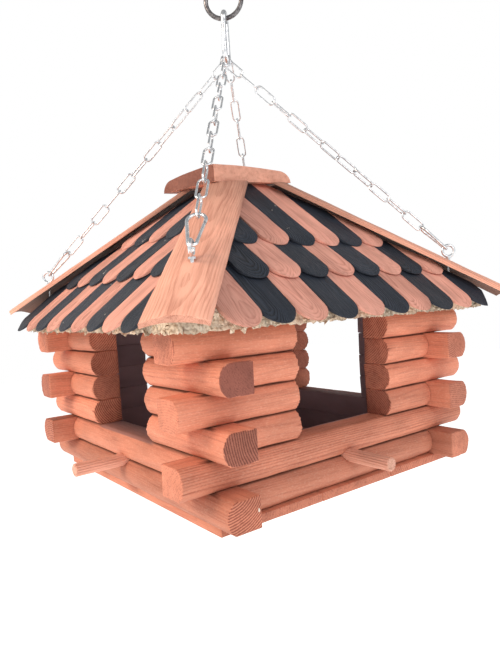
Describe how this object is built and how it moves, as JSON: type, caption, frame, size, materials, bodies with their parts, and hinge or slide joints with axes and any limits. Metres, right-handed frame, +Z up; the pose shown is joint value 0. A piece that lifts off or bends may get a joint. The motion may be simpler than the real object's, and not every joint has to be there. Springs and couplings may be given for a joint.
{
  "type": "hanging log cabin bird feeder",
  "caption": "Hanging bird feeder like a small log cabin: open log walls on a boarded floor, dowel perches, a hipped shingle roof, and chains up to a snap hook and ring.",
  "frame": {"origin": "inside top of the hanging ring, where the nail or hook bears", "axes": "+Z up, the front wall and its perch face -Y, the right wall faces +X"},
  "size_m": [0.4419, 0.4468, 0.541],
  "materials": {
    "stained_log": "orange-brown stained softwood, matt",
    "floor_board": "stained sawn softwood, matt",
    "perch_dowel": "stained dowel, matt",
    "particle_board": "raw particle board, rough broken edges",
    "pale_shingle": "salmon stained softwood, sanded tips",
    "black_shingle": "black stained softwood, matt",
    "ridge_wood": "salmon stained softwood, brushed grain",
    "zinc_plated_steel": "bright zinc plate",
    "ring_steel": "dulled grey steel wire"
  },
  "bodies": {
    "root": {"bottom_through_logs": "stained_log", "bottom_butt_logs": "stained_log", "second_through_logs": "stained_log", "second_butt_logs": "stained_log", "front_pier_through_logs": "stained_log", "right_pier_through_logs": "stained_log", "back_pier_through_logs": "stained_log", "left_pier_through_logs": "stained_log", "front_pier_butt_logs": "stained_log", "right_pier_butt_logs": "stained_log", "back_pier_butt_logs": "stained_log", "left_pier_butt_logs": "stained_log", "front_and_back_top_logs": "stained_log", "right_and_left_top_logs": "stained_log", "front_floor_board": "floor_board", "middle_floor_board": "floor_board", "back_floor_board": "floor_board", "perches": "perch_dowel", "front_roof_panel": "particle_board", "right_roof_panel": "particle_board", "back_roof_panel": "particle_board", "left_roof_panel": "particle_board", "front_pale_shingles": "pale_shingle", "right_pale_shingles": "pale_shingle", "back_pale_shingles": "pale_shingle", "left_pale_shingles": "pale_shingle", "front_black_shingles": "black_shingle", "right_black_shingles": "black_shingle", "back_black_shingles": "black_shingle", "left_black_shingles": "black_shingle", "near_hip_cover": "ridge_wood", "right_hip_cover": "ridge_wood", "back_hip_cover": "ridge_wood", "left_hip_cover": "ridge_wood", "roof_cap": "ridge_wood", "near_chain": "zinc_plated_steel", "right_chain": "zinc_plated_steel", "back_chain": "zinc_plated_steel", "left_chain": "zinc_plated_steel", "screw_eyes": "zinc_plated_steel", "small_snap_hooks": "zinc_plated_steel", "top_snap_hook": "zinc_plated_steel", "hanging_ring": "ring_steel"}
  },
  "joints": []
}
